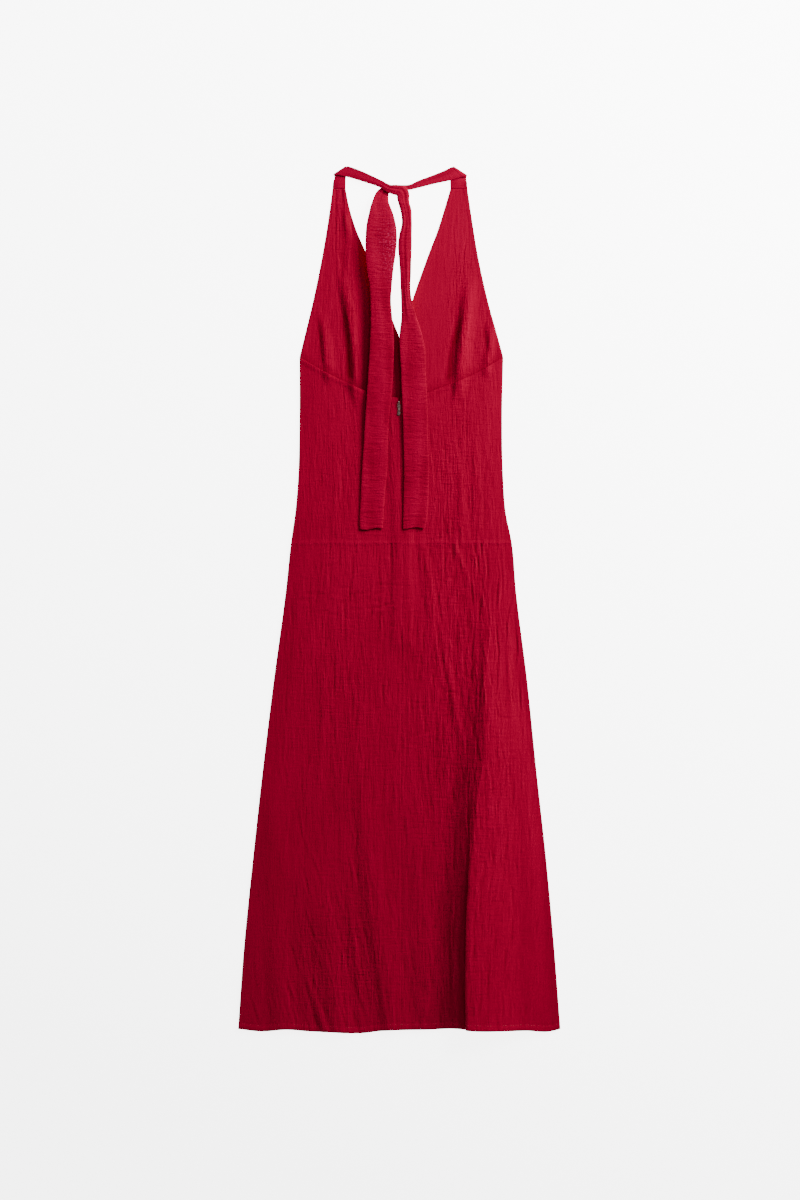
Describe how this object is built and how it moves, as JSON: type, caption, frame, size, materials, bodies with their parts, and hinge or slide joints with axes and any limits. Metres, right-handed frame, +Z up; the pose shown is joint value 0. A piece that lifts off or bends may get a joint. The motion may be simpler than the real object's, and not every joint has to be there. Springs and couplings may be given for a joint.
{
  "type": "long dress",
  "caption": "Long halter dress in crinkled crimson cloth, laid flat with its back up: neck ties in a half knot, scooped back, concealed zip, hip seam and flared skirt with a fold.",
  "frame": {"origin": "on the surface that the dress lies on, under the middle of its box", "axes": "+Z up off the surface, +Y from the hem towards the neck, +X towards the wearer's right side, as the back faces up"},
  "size_m": [0.522, 1.4039, 0.0245],
  "materials": {
    "crimson_cloth": "matt crinkled weave",
    "zip_tape": "matt woven tape",
    "zip_metal": "polished metal"
  },
  "bodies": {
    "dress": {"skirt_front": "crimson_cloth", "skirt_back_left": "crimson_cloth", "skirt_back_right": "crimson_cloth", "bodice_front_left": "crimson_cloth", "bodice_front_right": "crimson_cloth", "bodice_back_left": "crimson_cloth", "bodice_back_right": "crimson_cloth", "neck_tie_left": "crimson_cloth", "neck_tie_right": "crimson_cloth", "zip_tape": "zip_tape", "zip_slider": "zip_metal"},
    "pull": {"zip_pull": "zip_metal"}
  },
  "joints": [
    {"name": "pull_hinge", "type": "hinge", "parent": "dress", "child": "pull", "pos_m": [-0.0004, 0.317, 0.00585], "axis": [-1, 0, 0], "range_deg": [0, 165]}
  ]
}
